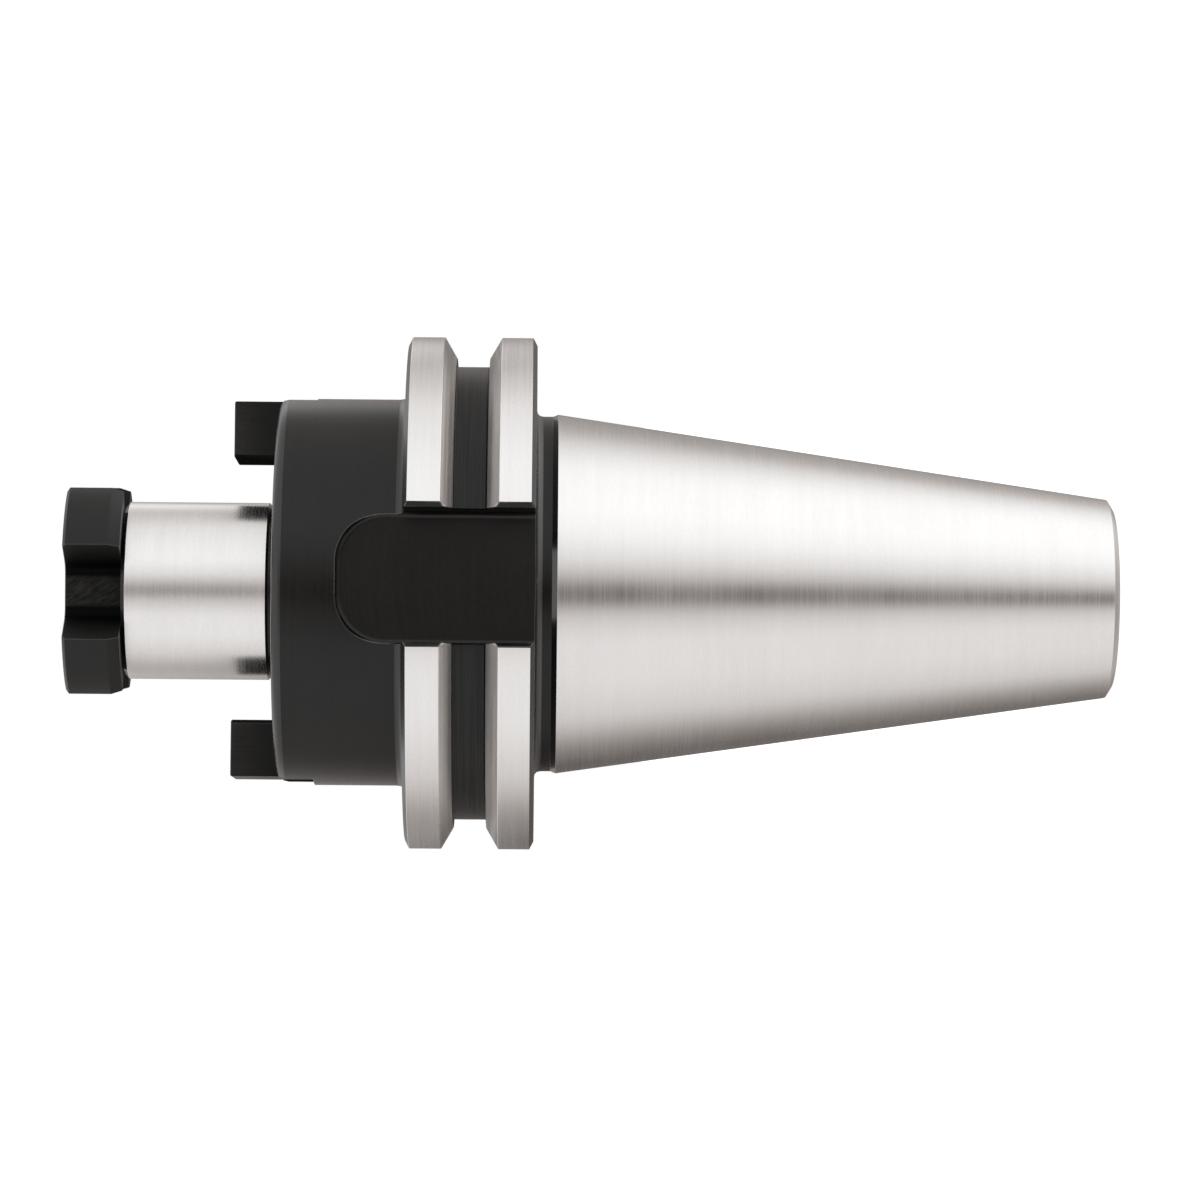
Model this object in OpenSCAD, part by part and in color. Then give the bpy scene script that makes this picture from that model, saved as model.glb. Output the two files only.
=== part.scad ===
// Holder for shell mills: a 7:24 steep taper shank, a V-grooved gripper flange,
// a short nose with two drive keys, a spigot and a retaining screw with wrench notches.
// Z runs along the spindle axis. Z = 0 is the gauge plane, and +Z points to the cutter.

/* [Taper shank] */
// Diameter of the taper at the gauge plane
gauge_d = 44.45; // [43.5:0.05:45.5]
// Length of the taper behind the gauge plane
taper_l = 68.4; // [62:0.1:72]
// Length of ground taper in front of the gauge plane
taper_lead = 0.55; // [0.2:0.05:1]
// Length of the chamfer from the ground taper down to the neck
lead_chamfer_h = 0.65; // [0.4:0.05:1]
// Diameter of the neck between taper and flange
neck_d = 44.1; // [42.5:0.1:44.3]
// Fillet where the neck meets the flange
neck_fillet = 0.9; // [0.2:0.1:0.9]
// Length of the chamfer at the small end
end_chamfer_h = 0.7; // [0.3:0.1:1.5]
// Depth of the chamfer at the small end
end_chamfer_w = 1.2; // [0.4:0.1:1.4]

/* [Pull stud hole] */
// Diameter of the hole that the pull stud screws into
stud_d = 14; // [12:0.25:15.5]
// Depth of that hole from the small end
stud_depth = 32; // [24:0.5:40]
// Diameter of the pilot bore at the small end
pilot_d = 17; // [16:0.1:18.5]
// Depth of the pilot bore
pilot_depth = 8.2; // [5:0.1:12]
// Size of the chamfer at the mouth of the pilot bore
pilot_chamfer = 0.7; // [0.3:0.1:0.9]

/* [Flange] */
// Diameter of the flange
flange_d = 63.55; // [61:0.05:66]
// Thickness of the flange
flange_t = 15.9; // [15.2:0.1:18]
// Distance from the gauge plane to the flange
flange_z = 3.2; // [2.8:0.1:4]
// Length of the chamfer on the flange's outer edges
rim_chamfer_h = 0.5; // [0.3:0.1:0.6]
// Depth of the chamfer on the flange's outer edges
rim_chamfer_w = 1; // [0.4:0.1:1.4]
// Distance from the gauge plane to the middle of the V-groove
groove_z = 11.1; // [10.8:0.1:11.8]
// Width of the V-groove at the flange's rim
groove_mouth = 7.07; // [6.6:0.01:7.4]
// Width of the V-groove at its floor
groove_floor = 4.07; // [3.8:0.01:4.4]
// Depth of the V-groove from the rim
groove_depth = 3.65; // [3.4:0.05:4.4]
// Angle between a flank of the V-groove and the radial direction
groove_flank_a = 30; // [28:1:34]

/* [Drive slots] */
// Width of both drive slots
slot_w = 16.1; // [14:0.1:17]
// Distance from the axis to the floor of the deep slot
deep_floor = 22.5; // [22.2:0.1:23.4]
// Distance from the axis to the floor of the shallow slot
shallow_floor = 25; // [24.6:0.1:26.5]
// How far the deep slot runs on past the flange
slot_run = 8.2; // [6.5:0.1:9]
// Corner radius at the deep slot's end
slot_end_r = 6; // [3:0.1:6.4]
// Fillet along the floor of each slot
slot_fillet = 0.8; // [0.3:0.1:1.2]
// Chamfer where the slot walls meet the rim
slot_chamfer = 0.7; // [0.2:0.05:0.8]

/* [Nose] */
// Diameter of the nose and its contact face
nose_d = 48; // [47:0.1:49]
// Projection from the gauge plane to the contact face
nose_z = 35; // [33:0.5:60]
// Rounding of the nose's front edge
nose_round = 1.2; // [0.4:0.1:1.6]
// Fillet where the nose meets the flange
nose_fillet = 1; // [0.4:0.1:1.8]

/* [Spigot] */
// Diameter of the spigot that centres the cutter
spigot_d = 22; // [20:0.1:24]
// Length of the spigot from the contact face
spigot_l = 19; // [17:0.5:25]
// Chamfer at the spigot's end
spigot_chamfer = 0.5; // [0.3:0.1:1.5]
// Width of the relief groove at the spigot's base
relief_w = 1.0; // [0.6:0.1:2]
// Depth of the relief groove into the spigot
relief_depth = 0.3; // [0.1:0.05:0.6]
// How far the relief groove reaches into the contact face
relief_reach = 0.9; // [0.4:0.1:1.6]
// Depth of the relief groove into the contact face
relief_sink = 0.2; // [0.1:0.05:0.5]

/* [Drive keys] */
// Width of a drive key
key_w = 10; // [8.5:0.1:11]
// Radial length of a drive key
key_l = 7; // [6.5:0.1:7.6]
// Distance from the nose's outer surface to a key's outer end
key_inset = 0.8; // [0.3:0.1:1.2]
// Height of a key above the contact face
key_rise = 5.6; // [4.8:0.1:6.5]
// Depth of a key's seat below the contact face
key_seat = 4.6; // [3.5:0.1:5.5]
// Corner radius at the inner end of a key and of its seat
key_corner = 0.6; // [0.3:0.1:2]
// Chamfer round the front of a key
key_chamfer = 0.15; // [0.1:0.05:0.6]
// Gap between a key and each wall of its seat
key_gap = 0.02; // [0.01:0.01:0.05]

/* [Key screws] */
// Thread diameter of a key screw
key_screw_d = 3; // [2.5:0.1:3.2]
// Length of a key screw under its head
key_screw_l = 12; // [11:0.5:14]
// Head diameter of a key screw
key_head_d = 5.5; // [5:0.1:5.7]
// Head height of a key screw
key_head_h = 3; // [2.5:0.1:3.2]
// Key size of the hexagon socket
key_socket_w = 2.5; // [2:0.1:2.8]
// Depth of the hexagon socket
key_socket_depth = 1.4; // [1:0.1:1.6]
// Radial gap round the head and the shank where they pass through the key
key_screw_gap = 0.15; // [0.1:0.01:0.2]
// How deep the head lies below the front of the key
key_head_sink = 0.3; // [0.1:0.1:0.6]

/* [Retaining screw] */
// Diameter of the screw's head
head_d = 28; // [25:0.5:32]
// Height of the screw's head
head_h = 7; // [5:0.1:9]
// Length of the chamfer on the front edge of the head
head_chamfer_h = 0.4; // [0.2:0.05:0.8]
// Depth of the chamfer on the front edge of the head
head_chamfer_w = 0.6; // [0.3:0.05:1]
// Length of the chamfer on the rear edge of the head
head_rear_h = 1.4; // [0.3:0.1:2]
// Depth of the chamfer on the rear edge of the head
head_rear_w = 0.5; // [0.2:0.05:0.9]
// Number of wrench notches
notch_count = 4; // [4:1:6]
// Angle at which the tightened screw has come to rest
head_turn = -5.3; // [-45:0.1:45]
// Distance from the axis to the floor of a notch
notch_floor = 7.85; // [7.4:0.05:9]
// Half of the flat on the floor of a notch
notch_flat = 1.8; // [1:0.1:2.2]
// Fillet between the floor and the flanks of a notch
notch_fillet = 2; // [1:0.1:2.4]
// Angle between a flank of a notch and the radial direction
notch_flank_a = 30; // [20:1:34]
// Thread diameter of the screw
screw_d = 10; // [9:0.1:11]
// Length of the screw under its head
screw_l = 18; // [14:0.5:24]
// Radial gap between the screw and its hole
screw_gap = 0.05; // [0.02:0.01:0.09]
// Depth of the screw's hole past the screw's tip
hole_spare = 6; // [2:0.5:7]

/* [Hidden] */

$fn = 96;
over = 1;
steep = 7 / 24;
drill_point = 59;

flange_r = flange_d / 2;
front_z = flange_z + flange_t;
nose_r = nose_d / 2;
neck_r = neck_d / 2;
spigot_r = spigot_d / 2;
spigot_end = nose_z + spigot_l;
flank_r = flange_r - (groove_mouth - groove_floor) / 2 / tan(groove_flank_a);
small_r = taper_r(-taper_l + end_chamfer_h);

key_out = nose_r - key_inset;
key_in = key_out - key_l;
key_mid = (key_out + key_in) / 2;
key_base = nose_z - key_seat;
key_top = nose_z + key_rise;
key_head_z = key_top - key_head_sink - key_head_h;

// Radius of the taper at a height
function taper_r(z) = (gauge_d + z * steep) / 2;

// Points on an arc round a centre, from one angle to another
function arc(c, r, from, to, n = 6) =
    [for (i = [0:n]) let (a = from + (to - from) * i / n) c + r * [cos(a), sin(a)]];

// The turned outline, from the small end to the spigot's end
function body_outline() = concat(
    [[0, -taper_l],
     [small_r - end_chamfer_w, -taper_l],
     [small_r, -taper_l + end_chamfer_h],
     [taper_r(taper_lead), taper_lead],
     [neck_r, taper_lead + lead_chamfer_h]],
    arc([neck_r + neck_fillet, flange_z - neck_fillet], neck_fillet, 180, 90),
    [[flange_r - rim_chamfer_w, flange_z],
     [flange_r, flange_z + rim_chamfer_h],
     [flange_r, groove_z - groove_mouth / 2],
     [flank_r, groove_z - groove_floor / 2],
     [flange_r - groove_depth, groove_z - groove_floor / 2],
     [flange_r - groove_depth, groove_z + groove_floor / 2],
     [flank_r, groove_z + groove_floor / 2],
     [flange_r, groove_z + groove_mouth / 2],
     [flange_r, front_z - rim_chamfer_h],
     [flange_r - rim_chamfer_w, front_z]],
    arc([nose_r + nose_fillet, front_z + nose_fillet], nose_fillet, 270, 180),
    arc([nose_r - nose_round, nose_z - nose_round], nose_round, 0, 90),
    [[spigot_r + relief_reach, nose_z],
     [spigot_r + relief_reach - relief_sink, nose_z - relief_sink],
     [spigot_r - relief_depth, nose_z - relief_sink],
     [spigot_r - relief_depth, nose_z + relief_w],
     [spigot_r, nose_z + relief_w + relief_depth],
     [spigot_r, spigot_end - spigot_chamfer],
     [spigot_r - spigot_chamfer, spigot_end],
     [0, spigot_end]]);

// A drilled hole that starts at z = 0 and goes down, with its drill point
module drilled(d, depth) {
    translate([0, 0, -depth]) cylinder(d = d, h = depth + over);
    translate([0, 0, -depth - d / 2 / tan(drill_point)])
        cylinder(r1 = 0, r2 = d / 2, h = d / 2 / tan(drill_point));
}

// Section of a drive slot through the flange: x across, y out from the axis
module slot_section(floor_r) {
    rim = sqrt(pow(flange_r, 2) - pow(slot_w / 2, 2));
    reach = flange_r - floor_r + over;
    translate([-slot_w / 2, floor_r + slot_fillet])
        square([slot_w, reach]);
    translate([-slot_w / 2 + slot_fillet, floor_r])
        square([slot_w - 2 * slot_fillet, reach]);
    for (s = [-1, 1]) {
        translate([s * (slot_w / 2 - slot_fillet), floor_r + slot_fillet])
            circle(r = slot_fillet);
        polygon([[s * (slot_w / 2 - over), rim - slot_chamfer - over],
                 [s * (slot_w / 2 + slot_chamfer + over), rim + over],
                 [s * (slot_w / 2 - over), rim + over]]);
    }
}

// Plan of the deep slot's end in the nose: x across, y along the axis
module slot_end_plan() {
    end_z = front_z + slot_run;
    translate([-slot_w / 2, front_z])
        square([slot_w, slot_run - slot_end_r]);
    translate([-slot_w / 2 + slot_end_r, front_z])
        square([slot_w - 2 * slot_end_r, slot_run]);
    for (s = [-1, 1])
        translate([s * (slot_w / 2 - slot_end_r), end_z - slot_end_r])
            circle(r = slot_end_r);
}

// Cutter of the flange part of a drive slot that faces +Y
module slot_cutter(floor_r) {
    low = taper_lead + lead_chamfer_h;
    translate([0, 0, low])
        linear_extrude(front_z - low + slot_fillet / 2) slot_section(floor_r);
}

// Plan of a key on the +X side, or of its seat where grown by a gap
module key_plan(gap, out) {
    hw = key_w / 2 + gap;
    inner = key_in - gap;
    translate([inner + key_corner, -hw])
        square([out - inner - key_corner, 2 * hw]);
    translate([inner, -hw + key_corner])
        square([key_corner + over, 2 * (hw - key_corner)]);
    for (s = [-1, 1])
        translate([inner + key_corner, s * (hw - key_corner)])
            circle(r = key_corner);
}

// A block's side view with both front corners chamfered
module chamfered(from, to, low, high) {
    polygon([[from, low], [to, low], [to, high - key_chamfer],
             [to - key_chamfer, high], [from + key_chamfer, high],
             [from, high - key_chamfer]]);
}

module holder_body() {
    color("silver") difference() {
        rotate_extrude() polygon(body_outline());

        // Deep slot, which runs on into the nose
        rotate([0, 0, 180]) slot_cutter(deep_floor);
        translate([0, -deep_floor, 0]) rotate([90, 0, 0])
            linear_extrude(flange_r - deep_floor + over) slot_end_plan();

        // Shallow slot, through the flange only
        slot_cutter(shallow_floor);

        // Pull stud hole with its pilot bore
        translate([0, 0, -taper_l]) {
            mirror([0, 0, 1]) {
                drilled(stud_d, stud_depth);
                translate([0, 0, -pilot_depth])
                    cylinder(d = pilot_d, h = pilot_depth + over);
                translate([0, 0, -pilot_chamfer])
                    cylinder(d1 = pilot_d,
                        d2 = pilot_d + 2 * (pilot_chamfer + over),
                        h = pilot_chamfer + over);
            }
        }

        // Hole of the retaining screw
        translate([0, 0, spigot_end]) {
            drilled(screw_d + 2 * screw_gap, screw_l + hole_spare);
            translate([0, 0, -1])
                cylinder(d1 = screw_d + 2 * screw_gap,
                    d2 = screw_d + 2 * screw_gap + 4, h = 2);
        }

        // Seats and tapped holes of the two keys
        for (a = [0, 180]) rotate([0, 0, a]) {
            translate([0, 0, key_base])
                linear_extrude(key_seat + over) key_plan(key_gap, nose_r + over);
            translate([key_mid, 0, key_base])
                drilled(key_screw_d + 2 * screw_gap,
                    key_screw_l - (key_head_z - key_base) + 1.5);
        }
    }
}

module drive_key(a) {
    passage = key_screw_d + 2 * key_screw_gap;
    color([0.09, 0.09, 0.09]) rotate([0, 0, a]) difference() {
        intersection() {
            translate([0, 0, key_base])
                linear_extrude(key_top - key_base) key_plan(0, key_out);
            translate([0, key_w / 2 + over, 0]) rotate([90, 0, 0])
                linear_extrude(key_w + 2 * over)
                    chamfered(key_in, key_out, key_base, key_top);
            rotate([90, 0, 90]) linear_extrude(nose_r)
                chamfered(-key_w / 2, key_w / 2, key_base, key_top);
        }
        translate([key_mid, 0, key_base - over])
            cylinder(d = passage, h = key_top - key_base + 2 * over);
        translate([key_mid, 0, key_head_z])
            cylinder(d = key_head_d + 2 * key_screw_gap, h = key_top - key_head_z + over);
    }
}

module key_screw(a) {
    edge = 0.25;
    color([0.14, 0.14, 0.14]) rotate([0, 0, a])
        translate([key_mid, 0, key_head_z]) difference() {
            union() {
                cylinder(d = key_head_d, h = key_head_h - edge);
                translate([0, 0, key_head_h - edge])
                    cylinder(d1 = key_head_d, d2 = key_head_d - 2 * edge, h = edge);
                translate([0, 0, -key_screw_l + edge])
                    cylinder(d = key_screw_d, h = key_screw_l - edge + over);
                translate([0, 0, -key_screw_l])
                    cylinder(d1 = key_screw_d - 2 * edge, d2 = key_screw_d, h = edge);
            }
            translate([0, 0, key_head_h - key_socket_depth])
                cylinder(d = key_socket_w / cos(30), h = key_socket_depth + over, $fn = 6);
        }
}

// Outline of a wrench notch on the +Y side of the screw's head
module notch_outline() {
    turn = 90 - notch_flank_a;
    tangent = [notch_flat + notch_fillet * sin(turn),
               notch_floor + notch_fillet * (1 - cos(turn))];
    far = head_d / 2 + over;
    mouth = tangent[0] + (far - tangent[1]) * tan(notch_flank_a);
    polygon([[-notch_flat, notch_floor], [notch_flat, notch_floor], tangent,
             [mouth, far], [-mouth, far], [-tangent[0], tangent[1]]]);
    for (s = [-1, 1])
        translate([s * notch_flat, notch_floor + notch_fillet])
            circle(r = notch_fillet);
}

module retaining_screw() {
    r = head_d / 2;
    thread_r = screw_d / 2;
    tip = 1;
    color([0.11, 0.11, 0.11]) translate([0, 0, spigot_end]) rotate([0, 0, head_turn])
        difference() {
        rotate_extrude() polygon([
            [0, -screw_l], [thread_r - tip, -screw_l], [thread_r, -screw_l + tip],
            [thread_r, 0], [r - head_rear_w, 0], [r, head_rear_h],
            [r, head_h - head_chamfer_h], [r - head_chamfer_w, head_h], [0, head_h]]);
        for (i = [0:notch_count - 1])
            rotate([0, 0, 360 * i / notch_count])
                translate([0, 0, -over])
                    linear_extrude(head_h + 2 * over) notch_outline();
    }
}

holder_body();
drive_key(0);  // drive_key_1
drive_key(180);  // drive_key_2
key_screw(0);  // key_screw_1
key_screw(180);  // key_screw_2
retaining_screw();
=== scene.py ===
import math

import bmesh
import bpy
from mathutils import Matrix, Vector


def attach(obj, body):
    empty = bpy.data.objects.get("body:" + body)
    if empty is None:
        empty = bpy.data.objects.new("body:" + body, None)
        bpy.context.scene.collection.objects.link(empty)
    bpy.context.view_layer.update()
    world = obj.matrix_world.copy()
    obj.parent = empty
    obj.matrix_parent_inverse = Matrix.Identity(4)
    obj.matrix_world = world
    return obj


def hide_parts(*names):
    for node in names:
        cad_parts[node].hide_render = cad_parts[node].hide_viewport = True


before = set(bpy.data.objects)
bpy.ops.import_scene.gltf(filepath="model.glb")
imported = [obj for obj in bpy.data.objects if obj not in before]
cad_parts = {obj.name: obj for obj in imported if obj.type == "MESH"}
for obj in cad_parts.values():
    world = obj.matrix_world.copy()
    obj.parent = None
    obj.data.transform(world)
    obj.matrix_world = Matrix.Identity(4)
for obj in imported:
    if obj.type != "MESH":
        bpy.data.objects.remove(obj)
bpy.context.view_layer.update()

# All lengths below are in millimetres; meshes are scaled to metres when they are made.
MM = 0.001
SEGMENTS = 252

# Sizes of the holder, as in its CAD model, and of the details that only this script draws
GAUGE_R = 22.225
HALF_STEEP = 7 / 48
TAPER_L = 68.4
TAIL_CHAMFER_H, TAIL_CHAMFER_W = 0.7, 1.2
LEAD = 0.55
NECK_R, NECK_Z, NECK_FILLET = 22.05, 1.2, 0.9
FLANGE_R, FLANGE_Z, FRONT_Z = 31.775, 3.2, 19.1
RIM_CHAMFER_H, RIM_CHAMFER_W = 0.5, 1.0
GROOVE_Z, GROOVE_R = 11.1, 28.125
GROOVE_MOUTH, GROOVE_FLOOR = 7.07, 4.07
FLANK_ANGLE = 30
FLANK_R = FLANGE_R - (GROOVE_MOUTH - GROOVE_FLOOR) / 2 / math.tan(math.radians(FLANK_ANGLE))
SLOT_HW = 8.05
DEEP_FLOOR, SHALLOW_FLOOR = 22.5, 25.0
SLOT_FILLET, SLOT_CHAMFER = 0.8, 0.7
SLOT_END_Z, SLOT_END_R = 27.3, 6.0
NOSE_R, NOSE_Z, NOSE_ROUND, NOSE_FILLET = 24.0, 35.0, 1.2, 1.0
SPIGOT_R, SPIGOT_END, SPIGOT_CHAMFER = 11.0, 54.0, 0.5
RELIEF_W, RELIEF_D = 0.7, 0.2
UNDERCUT_L, UNDERCUT_D = 1.0, 0.3
KEY_HW, KEY_IN, KEY_OUT = 5.0, 16.2, 23.2
KEY_BASE, KEY_TOP = 30.4, 40.6
KEY_CORNER, KEY_CHAMFER, KEY_GAP = 0.6, 0.15, 0.02
KEY_MID = (KEY_IN + KEY_OUT) / 2
KEY_HEAD_Z, KEY_BORE_R, KEY_COUNTERBORE_R = 37.3, 1.65, 2.9
CAP_R, CAP_H, CAP_CHAMFER = 2.75, 3, 0.3
CAP_SHANK_R, CAP_SHANK_L = 1.5, 12
HEXAGON_HW, HEXAGON_DEPTH = 1.25, 1.4
KNURL_DEPTH, KNURL_RIDGES = 0.05, 36
HEAD_R, HEAD_H, HEAD_TURN = 14.0, 7.0, -5.3
NOTCH_FLOOR, NOTCH_FLAT, NOTCH_FILLET, NOTCH_FLANK = 7.85, 1.8, 2.0, 30.0
SCREW_R, SCREW_ROOT, SCREW_PITCH, SCREW_L = 5.0, 4.12, 1.5, 18.0
SCREW_TAP_R, SCREW_HOLE_Z, SCREW_COUNTERSINK_R, SCREW_PLAY = 4.3, 30, 6.05, 0.06
STUD_R, STUD_ROOT, STUD_PITCH, STUD_DEPTH = 7.0, 8.05, 2.0, 32
PILOT_R, PILOT_FLOOR_Z, PILOT_CHAMFER = 8.5, -60.2, 0.7
STUD_THREAD, SCREW_THREAD = (-60.6, -39.5), (33.0, SPIGOT_END + 0.6)
DRILL_ANGLE = 59
EDGE = 0.1

# How far the cutting shapes reach past what they cut
PAST = 1
OUTSIDE = 34

GROUND, BLACK, WORN, TURNED, SOFT, GROOVE, CORNER, LEAD_IN, WALL = range(9)


# Materials

class Nodes:
    """A short way to write the nodes of a new material or world."""

    def __init__(self, owner):
        owner.use_nodes = True
        self.owner = owner
        self.tree = owner.node_tree
        self.tree.nodes.clear()

    def add(self, kind, **values):
        node = self.tree.nodes.new(kind)
        for key, value in values.items():
            setattr(node, key, value)
        return node

    def link(self, source, target):
        self.tree.links.new(source, target)

    def put(self, value, socket):
        if isinstance(value, bpy.types.NodeSocket):
            self.link(value, socket)
        else:
            socket.default_value = value

    def math(self, operation, a, b=0.0):
        node = self.add("ShaderNodeMath", operation=operation)
        self.put(a, node.inputs[0])
        self.put(b, node.inputs[1])
        return node.outputs[0]

    def times(self, a, b):
        return self.math("MULTIPLY", a, b)

    def weighted(self, *parts):
        """The sum of some values, each times its weight."""
        total = self.times(*parts[0])
        for value, weight in parts[1:]:
            total = self.math("ADD", total, self.times(value, weight))
        return total

    def blend(self, share, a, b):
        return self.math("ADD", self.times(a, self.math("SUBTRACT", 1, share)), self.times(b, share))

    def place(self):
        """A point's place on the object, in metres."""
        return self.add("ShaderNodeTexCoord").outputs["Object"]

    def split(self, vector):
        node = self.add("ShaderNodeSeparateXYZ")
        self.link(vector, node.inputs[0])
        return node.outputs

    def distance(self, x, y):
        return self.math("SQRT", self.math("ADD", self.times(x, x), self.times(y, y)))

    def combine(self, x, y, z):
        node = self.add("ShaderNodeCombineXYZ")
        for value, socket in zip((x, y, z), node.inputs):
            self.put(value, socket)
        return node.outputs[0]

    def noise(self, vector, scale=1.0, detail=2.0, rough=0.5):
        node = self.add("ShaderNodeTexNoise")
        self.link(vector, node.inputs["Vector"])
        node.inputs["Scale"].default_value = scale
        node.inputs["Detail"].default_value = detail
        node.inputs["Roughness"].default_value = rough
        return node.outputs["Fac"]

    def ramp(self, fac, low, high, to_low, to_high):
        node = self.add("ShaderNodeMapRange")
        self.link(fac, node.inputs["Value"])
        for name, value in (("From Min", low), ("From Max", high), ("To Min", to_low), ("To Max", to_high)):
            node.inputs[name].default_value = value
        return node.outputs["Result"]

    def mix_colour(self, fac, a, b):
        node = self.add("ShaderNodeMix", data_type="RGBA")
        self.put(fac, node.inputs["Factor"])
        node.inputs["A"].default_value = (*a, 1)
        node.inputs["B"].default_value = (*b, 1)
        return node.outputs["Result"]

    def bump(self, height, strength, distance):
        node = self.add("ShaderNodeBump")
        node.inputs["Strength"].default_value = strength
        node.inputs["Distance"].default_value = distance
        self.link(height, node.inputs["Height"])
        return node.outputs["Normal"]

    def finish(self, shader):
        out = self.add("ShaderNodeOutputMaterial")
        self.link(shader, out.inputs["Surface"])
        return self.owner


def new_nodes(name):
    return Nodes(bpy.data.materials.new(name))


def turned_coordinates(n, around):
    """Coordinates for marks that run round the Z axis: slow round it, one unit per millimetre along it."""
    x, y, z = n.split(n.place())
    radius = n.distance(x, y)
    safe = n.math("MAXIMUM", radius, 0.0004)
    along = n.times(n.math("ADD", z, n.times(radius, 0.83)), 1000)
    return n.times(n.math("DIVIDE", x, safe), around), n.times(n.math("DIVIDE", y, safe), around), along


def stretched(n, parts, frequency):
    nx, ny, along = parts
    return n.combine(nx, ny, n.times(along, frequency))


def ground_steel(name):
    n = new_nodes(name)
    parts = turned_coordinates(n, 1.6)
    fine = n.noise(stretched(n, parts, 5.0), detail=3.0, rough=0.6)
    broad = n.noise(stretched(n, parts, 0.8), detail=2.0)
    grain = n.noise(n.place(), scale=2600, detail=2.0)
    cloud = n.noise(n.place(), scale=90, detail=2.0)
    shade = n.ramp(n.weighted((fine, 0.45), (broad, 0.3), (grain, 0.25)), 0.3, 0.7, 0, 1)
    shader = n.add("ShaderNodeBsdfPrincipled")
    n.link(n.mix_colour(shade, (0.755, 0.745, 0.738), (0.828, 0.822, 0.817)), shader.inputs["Base Color"])
    shader.inputs["Metallic"].default_value = 1
    rough = n.math("ADD", n.ramp(fine, 0.3, 0.7, 0.23, 0.29), n.ramp(cloud, 0.3, 0.7, -0.02, 0.03))
    n.link(rough, shader.inputs["Roughness"])
    shader.inputs["Anisotropic"].default_value = 0.6
    shader.inputs["Anisotropic Rotation"].default_value = 0.25
    n.link(n.add("ShaderNodeTangent", direction_type="RADIAL", axis="Z").outputs[0], shader.inputs["Tangent"])
    n.link(n.bump(n.weighted((fine, 0.7), (grain, 0.3)), 0.11, 0.00002), shader.inputs["Normal"])
    return n.finish(shader.outputs[0])


def turned_steel(name):
    """Half-matt turned steel, with the tool's marks running round the axis and darker where seen aslant."""
    n = new_nodes(name)
    parts = turned_coordinates(n, 0.9)
    marks = n.noise(stretched(n, parts, 3.2), detail=3.0, rough=0.65)
    broad = n.noise(stretched(n, parts, 0.9), detail=1.0)
    shade = n.ramp(n.weighted((marks, 0.65), (broad, 0.35)), 0.32, 0.68, 0, 1)
    shader = n.add("ShaderNodeBsdfPrincipled")
    n.link(n.mix_colour(shade, (0.82, 0.79, 0.765), (0.99, 0.96, 0.935)), shader.inputs["Base Color"])
    shader.inputs["Metallic"].default_value = 0.93
    shader.inputs["Specular Tint"].default_value = (0.05, 0.05, 0.05, 1)
    n.link(n.ramp(marks, 0.3, 0.7, 0.30, 0.42), shader.inputs["Roughness"])
    n.link(n.bump(marks, 0.3, 0.00003), shader.inputs["Normal"])
    return n.finish(shader.outputs[0])


def black_oxide(name, low, high, rough=(0.18, 0.27), turned=True, strength=0.15, specular=0.33, sheen=0.0,
                streaks=0.4):
    """Black oxide between two colours. Where it is turned, its streaks run round the axis."""
    n = new_nodes(name)
    cloud = n.noise(n.place(), scale=120, detail=3.0)
    grain = n.noise(n.place(), scale=2200, detail=2.0)
    if turned:
        marks = n.noise(stretched(n, turned_coordinates(n, 1.2), 4.0), detail=3.0, rough=0.6)
    else:
        marks = n.noise(n.place(), scale=700, detail=3.0)
    shade = n.weighted((n.weighted((cloud, 0.6), (grain, 0.4)), 1 - streaks), (marks, streaks))
    shader = n.add("ShaderNodeBsdfPrincipled")
    n.link(n.mix_colour(n.ramp(shade, 0.37, 0.63, 0, 1), low, high), shader.inputs["Base Color"])
    shader.inputs["Specular IOR Level"].default_value = specular
    shader.inputs["Sheen Weight"].default_value = sheen
    shader.inputs["Sheen Roughness"].default_value = 0.25
    shader.inputs["Sheen Tint"].default_value = (1.0, 0.9, 0.84, 1)
    n.link(n.ramp(shade, 0.3, 0.7, *rough), shader.inputs["Roughness"])
    n.link(n.bump(n.weighted((marks, 0.6), (grain, 0.4)), strength, 0.00002), shader.inputs["Normal"])
    return n.finish(shader.outputs[0])


def notch_oxide_painted_shade(name):
    """Black oxide in the screw head's notches: slanting milling marks on the floor, painted shade that darkens
    the corners, and painted light that slowly lifts it again towards the rim."""
    n = new_nodes(name)
    x, y, z = n.split(n.place())
    turned = n.math("ARCTAN2", n.math("ADD", x, n.times(y, -1)), n.math("ADD", x, y))
    round_axis = n.times(turned, 8.0)
    along = n.times(z, 1000)
    across = n.weighted((round_axis, 0.88), (along, -0.47))
    slant = n.weighted((along, 0.88), (round_axis, 0.47))
    marks = n.noise(n.combine(n.times(across, 3.4), n.times(slant, 0.45), 0.0), detail=2.0, rough=0.55)
    grain = n.noise(n.place(), scale=1500, detail=2.0)
    shade = n.weighted((marks, 0.75), (grain, 0.25))
    radius = n.times(n.distance(x, y), 1000)
    # Past the floor the colour falls to its dark end: painted shade in the corners. Towards the rim it rises:
    # painted light.
    floor = n.ramp(radius, 8.0, 8.12, 1, 0)
    rim = n.ramp(radius, 8.9, 14.0, 0, 0.55)
    light = n.math("ADD", n.times(floor, n.ramp(shade, 0.36, 0.66, 0.25, 0.95)), rim)
    shader = n.add("ShaderNodeBsdfPrincipled")
    n.link(n.mix_colour(light, (0.0003, 0.0003, 0.0003), (0.034, 0.0333, 0.032)), shader.inputs["Base Color"])
    shader.inputs["Specular IOR Level"].default_value = 0.05
    n.link(n.ramp(marks, 0.3, 0.7, 0.36, 0.5), shader.inputs["Roughness"])
    n.link(n.bump(n.times(marks, floor), 0.5, 0.00006), shader.inputs["Normal"])
    return n.finish(shader.outputs[0])


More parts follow.
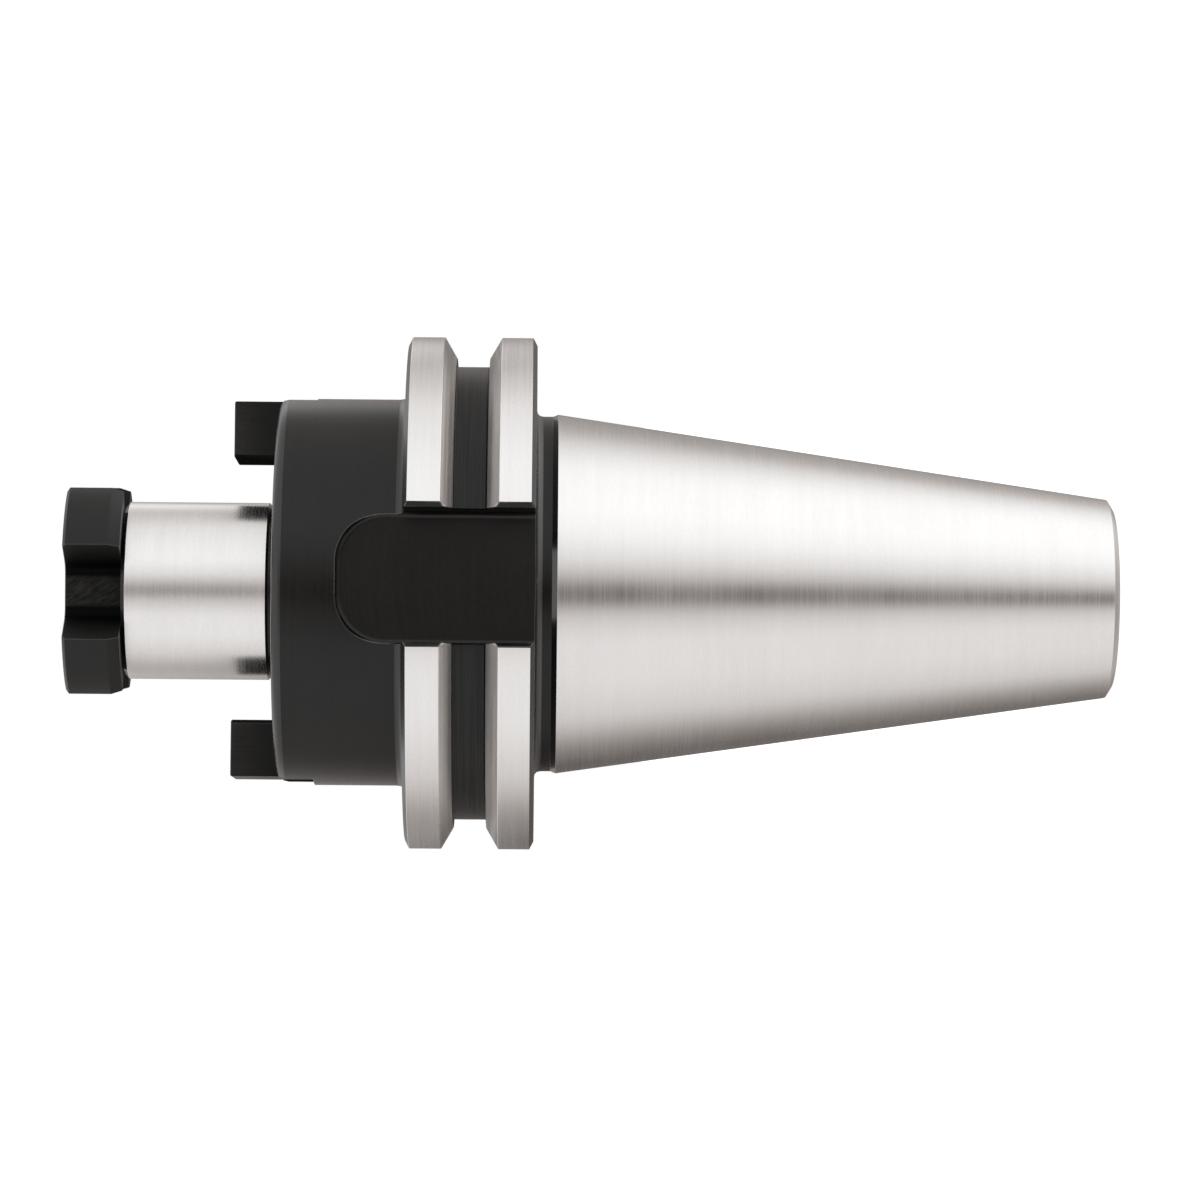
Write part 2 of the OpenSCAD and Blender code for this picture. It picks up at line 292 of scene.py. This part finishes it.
def key_oxide_painted_light(name):
    """Black oxide on the drive keys: fine ground lines and a cloudy tone, with painted light at the tip and
    painted shade towards the nose.
    """
    n = new_nodes(name)
    x, y, z = n.split(n.place())
    lines = n.noise(n.combine(n.times(x, 5200), n.times(y, 900), n.times(z, 260)), detail=2.0, rough=0.6)
    cloud = n.noise(n.place(), scale=210, detail=2.0)
    grain = n.noise(n.place(), scale=2400, detail=1.0)
    shade = n.weighted((cloud, 0.5), (lines, 0.35), (grain, 0.15))
    # Painted light and shade: lighter at the tip, darker towards the nose.
    tip = n.ramp(z, (NOSE_Z - 0.2) * MM, KEY_TOP * MM, 0.1, 1)
    light = n.times(n.times(tip, tip), n.ramp(shade, 0.34, 0.66, 0.5, 1.5))
    shader = n.add("ShaderNodeBsdfPrincipled")
    n.link(n.mix_colour(light, (0.0006, 0.0006, 0.0006), (0.0180, 0.0172, 0.0162)), shader.inputs["Base Color"])
    shader.inputs["Specular IOR Level"].default_value = 0.24
    n.link(n.ramp(shade, 0.3, 0.7, 0.26, 0.4), shader.inputs["Roughness"])
    n.link(n.bump(lines, 0.25, 0.00003), shader.inputs["Normal"])
    return n.finish(shader.outputs[0])


GROUND_STEEL = ground_steel("ground_steel")
BLACK_STEEL = black_oxide("black_oxide_turned", (0.0010, 0.0010, 0.0009), (0.0064, 0.0061, 0.0056), sheen=0.3)
GROOVE_STEEL = black_oxide("black_oxide_groove", (0.0004, 0.0004, 0.0004), (0.0130, 0.0128, 0.0124),
                           strength=0.3, specular=0.28, streaks=0.9)
# Darker, duller oxide for the groove's step walls and corners: painted shade in the creases.
CORNER_PAINTED_SHADE = black_oxide("black_oxide_corner_painted_shade", (0.0004, 0.0004, 0.0004), (0.0020, 0.0020, 0.0019),
                           rough=(0.35, 0.45), specular=0.06)
# Darker, duller oxide for the drive slots' side walls: painted shade.
SLOT_WALL_PAINTED_SHADE = black_oxide("black_oxide_slot_wall_painted_shade", (0.0006, 0.0006, 0.0006), (0.0030, 0.0030, 0.0029),
                         rough=(0.3, 0.4), turned=False, specular=0.1)
LEAD_STEEL = black_oxide("black_oxide_lead", (0.0004, 0.0004, 0.0004), (0.0016, 0.0016, 0.0015),
                         rough=(0.16, 0.22), specular=1.0)
WORN_STEEL = black_oxide("black_oxide_edge", (0.010, 0.0098, 0.0095), (0.026, 0.025, 0.024),
                         rough=(0.22, 0.32), specular=1.0)
TURNED_STEEL = turned_steel("turned_steel")
SOFT_STEEL = black_oxide("black_oxide_rounding", (0.003, 0.003, 0.0029), (0.008, 0.0078, 0.0074),
                         rough=(0.22, 0.32), specular=0.66)
SCREW_STEEL = black_oxide("black_oxide_screw", (0.0018, 0.0018, 0.0017), (0.0048, 0.0046, 0.0043),
                          rough=(0.33, 0.46), turned=False, strength=0.35, specular=0.34)
SCREW_EDGE = black_oxide("black_oxide_screw_edge", (0.006, 0.006, 0.0058), (0.016, 0.0156, 0.015),
                         rough=(0.28, 0.38), turned=False, specular=0.6)
NOTCH_STEEL = notch_oxide_painted_shade("black_oxide_notch_painted_shade")
KEY_STEEL = key_oxide_painted_light("black_oxide_key")
# Matt oxide without reflections for the keys' inner faces, which look towards the axis: painted shade.
KEY_INNER_PAINTED_SHADE = black_oxide("black_oxide_key_inner_painted_shade", (0.006, 0.0058, 0.0056), (0.012, 0.0117, 0.0112),
                        rough=(0.42, 0.55), turned=False, specular=0.0)
KEY_SCREW_STEEL = black_oxide("black_oxide_key_screw", (0.003, 0.003, 0.003), (0.008, 0.0078, 0.0075),
                              rough=(0.26, 0.38), specular=0.5)


# Mesh helpers

def mesh_object(name, vertices, faces, indices, materials):
    mesh = bpy.data.meshes.new(name)
    mesh.from_pydata([Vector(v) * MM for v in vertices], [], faces)
    mesh.polygons.foreach_set("material_index", indices)
    for material in materials:
        mesh.materials.append(material)
    mesh.update()
    obj = bpy.data.objects.new(name, mesh)
    bpy.context.scene.collection.objects.link(obj)
    return obj


def rounded(corners, steps=3):
    """A profile whose corners are rounded. Each corner is (r, z, rounding, material of the stretch after it,
    and where it differs the material of the rounding)."""
    out = []
    for i, (r, z, rounding, material, *own) in enumerate(corners):
        here = Vector((r, z))
        before = own[0] if own else corners[i - 1][3] if i else material
        after = own[0] if own else material
        if i == 0 or i == len(corners) - 1 or rounding <= 0:
            out.append((r, z, material))
            continue
        back = Vector(corners[i - 1][:2]) - here
        on = Vector(corners[i + 1][:2]) - here
        angle = back.angle(on)
        reach = min(rounding / math.tan(angle / 2), 0.42 * back.length, 0.42 * on.length)
        start, end = here + back.normalized() * reach, here + on.normalized() * reach
        count = steps if angle > 0.9 else steps + 2
        for k in range(count + 1):
            t = k / count
            bend = start.lerp(here, t).lerp(here.lerp(end, t), t)
            out.append((bend.x, bend.y, material if k == count else before if k < count / 2 else after))
    return out


def revolve(name, profile, materials, segments=SEGMENTS, wave=None):
    """Turns a profile of (r, z, material) round the Z axis. Points at r = 0 become poles."""
    vertices, faces, indices, rings = [], [], [], []
    for r, z, _ in profile:
        start = len(vertices)
        if r < 1e-6:
            vertices.append((0, 0, z))
            rings.append((start, 1))
            continue
        for j in range(segments):
            a = 2 * math.pi * j / segments
            rr = r + (wave(r, z, a) if wave else 0)
            vertices.append((rr * math.cos(a), rr * math.sin(a), z))
        rings.append((start, segments))
    for i in range(len(profile) - 1):
        (a, na), (b, nb) = rings[i], rings[i + 1]
        for j in range(segments):
            k = (j + 1) % segments
            if na == 1:
                faces.append((a, b + k, b + j))
            elif nb == 1:
                faces.append((a + j, a + k, b))
            else:
                faces.append((a + j, a + k, b + k, b + j))
            indices.append(profile[i][2])
    return mesh_object(name, vertices, faces, indices, materials)


def prism(name, outline, low, high, index, materials, place=lambda x, y, z: (x, y, z)):
    """An outline of (x, y) drawn out from low to high, anticlockwise from above."""
    n = len(outline)
    vertices = [place(x, y, low) for x, y in outline] + [place(x, y, high) for x, y in outline]
    faces = [tuple(range(n - 1, -1, -1)), tuple(range(n, 2 * n))]
    faces += [(i, (i + 1) % n, n + (i + 1) % n, n + i) for i in range(n)]
    obj = mesh_object(name, vertices, faces, [index] * len(faces), materials)
    bm = bmesh.new()
    bm.from_mesh(obj.data)
    bmesh.ops.recalc_face_normals(bm, faces=bm.faces)
    bm.to_mesh(obj.data)
    bm.free()
    return obj


def stack(name, rings, index, materials):
    """A closed solid through outlines of equal length, from the lowest to the highest."""
    n = len(rings[0])
    vertices = [v for ring in rings for v in ring]
    faces = [tuple(range(n - 1, -1, -1)), tuple(range((len(rings) - 1) * n, len(rings) * n))]
    for i in range(len(rings) - 1):
        a, b = i * n, (i + 1) * n
        faces += [(a + j, a + (j + 1) % n, b + (j + 1) % n, b + j) for j in range(n)]
    return mesh_object(name, vertices, faces, [index] * len(faces), materials)


def arc(cx, cy, r, start, end, steps):
    turns = [math.radians(start + (end - start) * k / steps) for k in range(steps + 1)]
    return [(cx + r * math.cos(a), cy + r * math.sin(a)) for a in turns]


def apply(obj):
    graph = bpy.context.evaluated_depsgraph_get()
    mesh = bpy.data.meshes.new_from_object(obj.evaluated_get(graph))
    old = obj.data
    obj.modifiers.clear()
    obj.data = mesh
    mesh.name = obj.name
    bpy.data.meshes.remove(old)


def combine(obj, other, operation="DIFFERENCE"):
    modifier = obj.modifiers.new("cut", "BOOLEAN")
    modifier.operation = operation
    modifier.solver = "MANIFOLD"
    modifier.object = other
    apply(obj)
    mesh = other.data
    bpy.data.objects.remove(other)
    bpy.data.meshes.remove(mesh)


def ease_edges(obj, width, least=38, segments=2, material=-1, skip=None):
    """Rounds the sharp edges of a cut mesh, apart from those that skip names, and merges the slivers that the
    cuts leave."""
    bm = bmesh.new()
    bm.from_mesh(obj.data)
    bmesh.ops.remove_doubles(bm, verts=bm.verts, dist=0.01 * MM)
    bmesh.ops.dissolve_degenerate(bm, edges=bm.edges, dist=0.01 * MM)
    sharp = [e for e in bm.edges if len(e.link_faces) == 2 and e.calc_face_angle(0) > math.radians(least)]
    if skip:
        sharp = [e for e in sharp if not skip((e.verts[0].co + e.verts[1].co) / 2 / MM)]
    bmesh.ops.bevel(bm, geom=sharp, offset=width * MM, offset_type="OFFSET", segments=segments, profile=0.5,
                    affect="EDGES", clamp_overlap=False, loop_slide=True, material=material)
    bmesh.ops.remove_doubles(bm, verts=bm.verts, dist=0.003 * MM)
    bm.to_mesh(obj.data)
    bm.free()


def smooth(obj):
    obj.data.shade_smooth()
    obj.data.set_sharp_from_angle(angle=math.radians(40))
    modifier = obj.modifiers.new("weighted", "WEIGHTED_NORMAL")
    modifier.keep_sharp = True
    modifier.weight = 80
    apply(obj)


def thread_rod(name, root, crest, pitch, low, high, tip, index, materials, spare=0.0, segments=96):
    """A right-handed threaded rod from low to high, tapered over the length tip at its lower end."""
    def radius(z, a):
        turn = (z / pitch - a / (2 * math.pi)) % 1.0
        height = min(1.0, max(0.0, (abs(2 * turn - 1) - 0.16) / 0.62))
        height = height * height * (3 - 2 * height)
        taper = min(1.0, max(0.0, (z - low) / tip))
        end = crest - (crest - root + 0.15) * (1 - taper)
        return min(root + (crest - root) * height, end) + spare
    steps_per_turn = 12
    count = max(2, round((high - low) / pitch * steps_per_turn))
    vertices, faces = [], []
    for i in range(count + 1):
        z = low + (high - low) * i / count
        for j in range(segments):
            a = 2 * math.pi * j / segments
            r = radius(z, a)
            vertices.append((r * math.cos(a), r * math.sin(a), z))
    for i in range(count):
        for j in range(segments):
            k = (j + 1) % segments
            a, b = i * segments, (i + 1) * segments
            faces.append((a + j, a + k, b + k, b + j))
    vertices += [(0, 0, low), (0, 0, high)]
    bottom, top = len(vertices) - 2, len(vertices) - 1
    for j in range(segments):
        k = (j + 1) % segments
        faces.append((bottom, k, j))
        faces.append((top, count * segments + j, count * segments + k))
    return mesh_object(name, vertices, faces, [index] * len(faces), materials)


# The holder's body

def taper_r(z):
    return GAUGE_R + z * HALF_STEEP


def body_profile():
    drill = math.tan(math.radians(DRILL_ANGLE))
    stud_floor = -TAPER_L + STUD_DEPTH
    tail_z = -TAPER_L + TAIL_CHAMFER_H
    tail_r = taper_r(tail_z)
    rim_back, rim_front = GROOVE_Z - GROOVE_MOUTH / 2, GROOVE_Z + GROOVE_MOUTH / 2
    floor_back, floor_front = GROOVE_Z - GROOVE_FLOOR / 2, GROOVE_Z + GROOVE_FLOOR / 2
    flank_edge, groove_corner, relief_edge, undercut_corner = 0.06, 0.2, 0.05, 0.12
    return rounded([
        (0, stud_floor + STUD_R / drill, 0, BLACK),
        (STUD_R, stud_floor, EDGE, BLACK),
        (STUD_R, PILOT_FLOOR_Z, EDGE, BLACK),
        (PILOT_R, PILOT_FLOOR_Z, EDGE, BLACK),
        (PILOT_R, -TAPER_L + PILOT_CHAMFER, EDGE, BLACK),
        (PILOT_R + PILOT_CHAMFER, -TAPER_L, EDGE, BLACK),
        (tail_r - TAIL_CHAMFER_W, -TAPER_L, EDGE, GROUND),
        (tail_r, tail_z, 0.15, GROUND),
        (taper_r(LEAD), LEAD, EDGE, LEAD_IN),
        (NECK_R, NECK_Z, EDGE, BLACK),
        (NECK_R, FLANGE_Z, NECK_FILLET, BLACK, WORN),
        (FLANGE_R - RIM_CHAMFER_W, FLANGE_Z, EDGE, SOFT),
        (FLANGE_R, FLANGE_Z + RIM_CHAMFER_H, EDGE, GROUND),
        (FLANGE_R, rim_back, EDGE, TURNED),
        # The step walls and the groove's corners take the corner material: painted shade.
        (FLANK_R, floor_back, flank_edge, CORNER),
        (GROOVE_R, floor_back, groove_corner, GROOVE, CORNER),
        (GROOVE_R, floor_front, groove_corner, CORNER),
        (FLANK_R, floor_front, flank_edge, TURNED),
        (FLANGE_R, rim_front, EDGE, GROUND),
        (FLANGE_R, FRONT_Z - RIM_CHAMFER_H, EDGE, SOFT),
        (FLANGE_R - RIM_CHAMFER_W, FRONT_Z, EDGE, BLACK),
        (NOSE_R, FRONT_Z, NOSE_FILLET, BLACK, SOFT),
        (NOSE_R, NOSE_Z, NOSE_ROUND, GROUND, SOFT),
        (SPIGOT_R + RELIEF_W + RELIEF_D, NOSE_Z, relief_edge, BLACK),
        (SPIGOT_R + RELIEF_W, NOSE_Z - RELIEF_D, relief_edge, BLACK),
        (SPIGOT_R - UNDERCUT_D, NOSE_Z - RELIEF_D, undercut_corner, BLACK),
        (SPIGOT_R - UNDERCUT_D, NOSE_Z + UNDERCUT_L, undercut_corner, BLACK),
        (SPIGOT_R, NOSE_Z + UNDERCUT_L + UNDERCUT_D, relief_edge, GROUND),
        (SPIGOT_R, SPIGOT_END - SPIGOT_CHAMFER, EDGE, BLACK),
        (SPIGOT_R - SPIGOT_CHAMFER, SPIGOT_END, EDGE, BLACK),
        (SCREW_COUNTERSINK_R, SPIGOT_END, EDGE, BLACK),
        (SCREW_TAP_R, SPIGOT_END - (SCREW_COUNTERSINK_R - SCREW_TAP_R), 0.05, BLACK),
        (SCREW_TAP_R, SCREW_HOLE_Z, EDGE, BLACK),
        (0, SCREW_HOLE_Z - SCREW_TAP_R / drill, 0, BLACK),
    ])


def slot_outline(floor):
    """Section of a drive slot: x across, y out from the axis."""
    rim = math.sqrt(FLANGE_R ** 2 - SLOT_HW ** 2)
    inner, outer = SLOT_HW - SLOT_FILLET, SLOT_HW + SLOT_CHAMFER + PAST
    return (arc(-inner, floor + SLOT_FILLET, SLOT_FILLET, 180, 270, 7)
            + arc(inner, floor + SLOT_FILLET, SLOT_FILLET, 270, 360, 7)
            + [(SLOT_HW, rim - SLOT_CHAMFER), (outer, rim + PAST), (outer, OUTSIDE),
               (-outer, OUTSIDE), (-outer, rim + PAST), (-SLOT_HW, rim - SLOT_CHAMFER)])


def slot_end_cut(mats):
    """The round end of the deep slot in the nose, with the slot's fillet along its floor."""
    corner, centre = SLOT_HW - SLOT_END_R, SLOT_END_Z - SLOT_END_R
    rings = []
    for a in [90 * k / 7 for k in range(8)] + [None]:
        inset = 0 if a is None else SLOT_FILLET * (1 - math.sin(math.radians(a)))
        height = OUTSIDE if a is None else DEEP_FLOOR + SLOT_FILLET * (1 - math.cos(math.radians(a)))
        hw, r = SLOT_HW - inset, SLOT_END_R - inset
        plan = ([(-hw, FRONT_Z - 2), (hw, FRONT_Z - 2)]
                + arc(corner, centre, r, 0, 90, 14) + arc(-corner, centre, r, 90, 180, 14))
        rings.append([(x, -height, z) for x, z in plan])
    return stack("slot_end_cut", rings, BLACK, mats)


def key_plan(hw, inner, out, corner):
    """Outline of a key that lies on the +X side, with its two inner corners rounded."""
    return (arc(inner + corner, hw - corner, corner, 90, 180, 8)
            + arc(inner + corner, -hw + corner, corner, 180, 270, 8)
            + [(out, -hw), (out, hw)])


def in_thread(point):
    """Whether a point of the body lies on the turns of a thread."""
    radius = math.hypot(point.x, point.y)
    return radius < SCREW_R + 0.2 or radius < STUD_ROOT + 0.25 and point.z < STUD_THREAD[1] + 1.5


def make_body():
    mats = (GROUND_STEEL, BLACK_STEEL, WORN_STEEL, TURNED_STEEL, SOFT_STEEL, GROOVE_STEEL, CORNER_PAINTED_SHADE,
            LEAD_STEEL, SLOT_WALL_PAINTED_SHADE)
    body = revolve("holder_body_fine", body_profile(), mats)
    for side, floor in ((-1, DEEP_FLOOR), (1, SHALLOW_FLOOR)):
        cut = prism("slot_cut", slot_outline(floor), NECK_Z, FRONT_Z + SLOT_FILLET / 2, BLACK, mats,
                    lambda x, y, z, s=side: (x, s * y, z))
        # The slots' side walls take the wall material: painted shade.
        for face in cut.data.polygons:
            if abs(face.normal.x) > 0.9:
                face.material_index = WALL
        combine(body, cut)
    combine(body, slot_end_cut(mats))
    for side in (1, -1):
        seat = key_plan(KEY_HW + KEY_GAP, KEY_IN - KEY_GAP, NOSE_R + 2, KEY_CORNER)
        combine(body, prism("key_cut", seat, KEY_BASE, NOSE_Z + 2, BLACK, mats,
                            lambda x, y, z, s=side: (s * x, s * y, z)))
    combine(body, thread_rod("stud_cut", STUD_R - 0.3, STUD_ROOT, STUD_PITCH, *STUD_THREAD, 1.5, BLACK, mats))
    combine(body, thread_rod("screw_cut", SCREW_ROOT, SCREW_R, SCREW_PITCH, *SCREW_THREAD, 1.5, BLACK, mats,
                             spare=SCREW_PLAY, segments=84))
    ease_edges(body, 0.09, material=WORN, skip=in_thread)
    smooth(body)
    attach(body, "holder")
    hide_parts("holder_body")


def make_key(number, side):
    mats = (KEY_STEEL, KEY_INNER_PAINTED_SHADE)

    def ring(inset, z):
        plan = key_plan(KEY_HW - inset, KEY_IN + inset, KEY_OUT - inset, KEY_CORNER - inset)
        return [(side * x, side * y, z) for x, y in plan]
    rings = [ring(0, KEY_BASE), ring(0, KEY_TOP - KEY_CHAMFER), ring(KEY_CHAMFER, KEY_TOP)]
    key = stack(f"drive_key_{number}_fine", rings, 0, mats)
    # Faces that look towards the axis take the matt inner material: painted shade.
    for face in key.data.polygons:
        if face.normal.x * side < -0.3:
            face.material_index = 1
    for radius, low in ((KEY_BORE_R, KEY_BASE - PAST), (KEY_COUNTERBORE_R, KEY_HEAD_Z)):
        circle = arc(0, 0, radius, 0, 360 - 360 / 96, 95)
        combine(key, prism("bore", circle, low, KEY_TOP + PAST, 0, mats,
                           lambda x, y, z: (side * KEY_MID + x, y, z)))
    ease_edges(key, 0.04, least=42)
    smooth(key)
    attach(key, "holder")
    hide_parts(f"drive_key_{number}")


def make_key_screw(number, side):
    mats = (KEY_SCREW_STEEL, WORN_STEEL)
    z0, z1 = KEY_HEAD_Z, KEY_HEAD_Z + CAP_H
    profile = rounded([(0, z0 - CAP_SHANK_L, 0, 0), (CAP_SHANK_R - 0.25, z0 - CAP_SHANK_L, 0.03, 0),
                       (CAP_SHANK_R, z0 - CAP_SHANK_L + 0.25, 0.05, 0), (CAP_SHANK_R, z0, EDGE, 0),
                       (CAP_R, z0, EDGE, 0), (CAP_R, z0 + 0.45, 0.02, 0), (CAP_R, z1 - 0.45, 0.02, 0),
                       (CAP_R, z1 - CAP_CHAMFER, EDGE, 0), (CAP_R - CAP_CHAMFER, z1, 0.12, 0), (0, z1, 0, 0)])

    def knurl(r, z, a):
        if r < CAP_R - 0.05 or not z0 + 0.4 < z < z1 - 0.4:
            return 0
        return -KNURL_DEPTH * (1 + math.cos(KNURL_RIDGES * a)) / 2
    screw = revolve(f"key_screw_{number}_fine", profile, mats, segments=180, wave=knurl)
    hexagon = arc(0, 0, HEXAGON_HW / math.cos(math.radians(30)), 30, 330, 5)
    combine(screw, prism("socket", hexagon, z1 - HEXAGON_DEPTH, z1 + PAST, 0, mats))
    ease_edges(screw, 0.05, least=42, material=1)
    screw.data.transform(Matrix.Translation((side * KEY_MID * MM, 0, 0)))
    smooth(screw)
    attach(screw, "holder")
    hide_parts(f"key_screw_{number}")


def notch_outline():
    turn = math.radians(90 - NOTCH_FLANK)
    tx = NOTCH_FLAT + NOTCH_FILLET * math.sin(turn)
    ty = NOTCH_FLOOR + NOTCH_FILLET * (1 - math.cos(turn))
    far = HEAD_R + PAST
    mouth = tx + (far - ty) * math.tan(math.radians(NOTCH_FLANK))
    right = arc(NOTCH_FLAT, NOTCH_FLOOR + NOTCH_FILLET, NOTCH_FILLET, 270, 270 + math.degrees(turn), 9)
    left = [(-x, y) for x, y in reversed(right)]
    return left + right + [(mouth, far), (-mouth, far)]


def make_retaining_screw():
    mats = (SCREW_STEEL, SCREW_EDGE, NOTCH_STEEL)
    z0, z1 = SPIGOT_END, SPIGOT_END + HEAD_H
    profile = rounded([(0, z0, 0, 0), (HEAD_R - 0.5, z0, 0.15, 0), (HEAD_R, z0 + 1.4, 0.15, 0),
                       (HEAD_R, z1 - 0.4, 0.2, 0), (HEAD_R - 0.6, z1, 0.2, 0), (0, z1, 0, 0)])
    screw = revolve("retaining_screw_fine", profile, mats)
    for i in range(4):
        a = math.radians(HEAD_TURN + 90 * i)
        notch = prism("notch", notch_outline(), z0 - PAST, z1 + PAST, 2, mats,
                      lambda x, y, z, c=math.cos(a), s=math.sin(a): (c * x - s * y, s * x + c * y, z))
        combine(screw, notch)
    ease_edges(screw, 0.12, least=32, segments=3, material=1)
    shank = thread_rod("shank", SCREW_ROOT, SCREW_R, SCREW_PITCH, z0 - SCREW_L, z0 + 0.5, 1.2, 0, mats,
                       segments=84)
    combine(screw, shank, "UNION")
    smooth(screw)
    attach(screw, "retaining_screw")
    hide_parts("retaining_screw")


make_body()
for number, side in ((1, 1), (2, -1)):
    make_key(number, side)
    make_key_screw(number, side)
make_retaining_screw()


# Floor, world and camera

# How far the camera stands round the axis from the deep slot's middle, in degrees
VIEW_TURN = 4.2

# Brightness of the light tent round the object's axis, from the camera's side: degrees, level square to the
# axis, level towards the taper's small end, and level towards the spigot
TENT = ((-180, 0.16, 0.20, 0.42), (-143, 0.04, 0.26, 0.72), (-125, 0.11, 0.34, 0.66), (-112, 0.24, 0.47, 0.66),
        (-90, 0.66, 0.79, 0.84), (-60, 0.90, 0.93, 1.04), (-32, 0.96, 0.95, 0.98), (-20, 0.80, 0.82, 0.76),
        (-12, 0.66, 0.66, 0.68), (-3, 0.23, 0.07, 0.38), (3, 0.23, 0.07, 0.38), (12, 0.62, 0.56, 0.64),
        (22, 0.92, 0.88, 0.92), (40, 1.12, 1.18, 1.12), (60, 1.07, 1.32, 1.04), (90, 0.84, 1.36, 0.92),
        (106, 0.56, 1.27, 0.80), (122, 0.38, 1.02, 0.72), (132, 0.32, 0.74, 0.94), (142, 0.30, 0.58, 1.30),
        (150, 0.30, 0.50, 1.10), (158, 0.32, 0.42, 0.60), (166, 0.28, 0.34, 0.42), (180, 0.16, 0.20, 0.42))
# Brightness of its two ends: height of the direction from 0 behind the taper to 1 before the spigot, level
TENT_ENDS = ((0, 0.40), (0.07, 0.55), (0.13, 1.0), (0.30, 1.0), (0.70, 1.0), (0.78, 1.12), (0.92, 1.12),
             (0.98, 0.9), (1, 0.85))
# The colour stops hold each level as a share of this one
TENT_TOP = 1.4


def make_floor():
    n = new_nodes("pale_floor")
    diffuse = n.add("ShaderNodeBsdfDiffuse")
    diffuse.inputs["Color"].default_value = (0.8, 0.8, 0.8, 1)
    glow = n.add("ShaderNodeEmission")
    glow.inputs["Color"].default_value = (1, 1, 1, 1)
    glow.inputs["Strength"].default_value = 0.62
    both = n.add("ShaderNodeAddShader")
    n.link(diffuse.outputs[0], both.inputs[0])
    n.link(glow.outputs[0], both.inputs[1])
    half, z = 3000.0, -TAPER_L
    floor = mesh_object("floor", [(-half, -half, z), (half, -half, z), (half, half, z), (-half, half, z)],
                        [(0, 1, 2, 3)], [0], [n.finish(both.outputs[0])])
    floor.visible_glossy = False
    floor.visible_diffuse = False
    floor.visible_shadow = False


def tent_level(n, stops, fac):
    """A light's level along fac, from stops of (position, level)."""
    node = n.add("ShaderNodeValToRGB")
    elements = node.color_ramp.elements
    while len(elements) > 1:
        elements.remove(elements[-1])
    for i, (position, level) in enumerate(stops):
        stop = elements[0] if i == 0 else elements.new(position)
        stop.position = position
        stop.color = (level / TENT_TOP,) * 3 + (1,)
    n.link(fac, node.inputs[0])
    return n.times(node.outputs[0], TENT_TOP)


def make_world():
    world = bpy.data.worlds.new("light_tent")
    bpy.context.scene.world = world
    n = Nodes(world)
    x, y, z = n.split(n.add("ShaderNodeTexCoord").outputs["Generated"])
    angle = n.math("ADD", n.math("ARCTAN2", x, n.times(y, -1)), math.radians(VIEW_TURN))
    round_axis = n.ramp(angle, -math.pi, math.pi, 0, 1)
    square, tapered, fore = (tent_level(n, [((stop[0] + 180) / 360, stop[i]) for stop in TENT], round_axis)
                             for i in (1, 2, 3))
    side = n.blend(n.ramp(z, 0, 0.08, 0, 1), n.blend(n.ramp(z, 0, -0.28, 0, 1), square, tapered), fore)
    ends = tent_level(n, TENT_ENDS, n.ramp(z, -1, 1, 0, 1))
    lean = n.ramp(x, -0.8, 0.8, 0.45, 1.25)
    ends = n.blend(n.ramp(z, -0.2, 0.2, 0, 1), n.times(ends, lean), ends)
    steep = n.math("ABSOLUTE", z)
    share = n.times(n.ramp(steep, 0.36, 0.58, 0, 1), n.ramp(z, -0.1, 0.1, 0.48, 1))
    level = n.blend(n.math("MAXIMUM", share, n.ramp(steep, 0.88, 0.97, 0, 1)), side, ends)
    lit, white = n.add("ShaderNodeBackground"), n.add("ShaderNodeBackground")
    warm = n.mix_colour(n.ramp(level, 0.15, 1.1, 0, 1), (1.10, 0.985, 0.925), (1, 1, 1))
    n.link(warm, lit.inputs["Color"])
    n.link(level, lit.inputs["Strength"])
    white.inputs["Color"].default_value = (1, 1, 1, 1)
    background = n.add("ShaderNodeMixShader")
    n.link(n.add("ShaderNodeLightPath").outputs["Is Camera Ray"], background.inputs["Fac"])
    n.link(lit.outputs[0], background.inputs[1])
    n.link(white.outputs[0], background.inputs[2])
    out = n.add("ShaderNodeOutputWorld")
    n.link(background.outputs[0], out.inputs["Surface"])


def make_camera():
    turn, yaw, roll = math.radians(VIEW_TURN), 0.01083, 0.00888
    distance, raised, aside = 0.65, -0.000441, 0.002465
    out = Vector((-math.sin(turn), -math.cos(turn), 0))
    across = Vector((0, 0, -1))
    up = Vector((math.cos(turn), -math.sin(turn), 0))
    place = out * distance + up * raised + Vector((0, 0, aside))
    right = across * math.cos(yaw) + out * math.sin(yaw)
    back = out * math.cos(yaw) - across * math.sin(yaw)
    right, up = right * math.cos(roll) + up * math.sin(roll), up * math.cos(roll) - right * math.sin(roll)
    data = bpy.data.cameras.new("camera")
    data.sensor_width = 36
    data.lens = 157.2
    data.clip_start, data.clip_end = 0.05, 20
    camera = bpy.data.objects.new("camera", data)
    bpy.context.scene.collection.objects.link(camera)
    camera.matrix_world = Matrix((
        (right.x, up.x, back.x, place.x),
        (right.y, up.y, back.y, place.y),
        (right.z, up.z, back.z, place.z),
        (0, 0, 0, 1)))
    bpy.context.scene.camera = camera


make_floor()
make_world()
make_camera()
bpy.context.scene.view_settings.view_transform = "Standard"
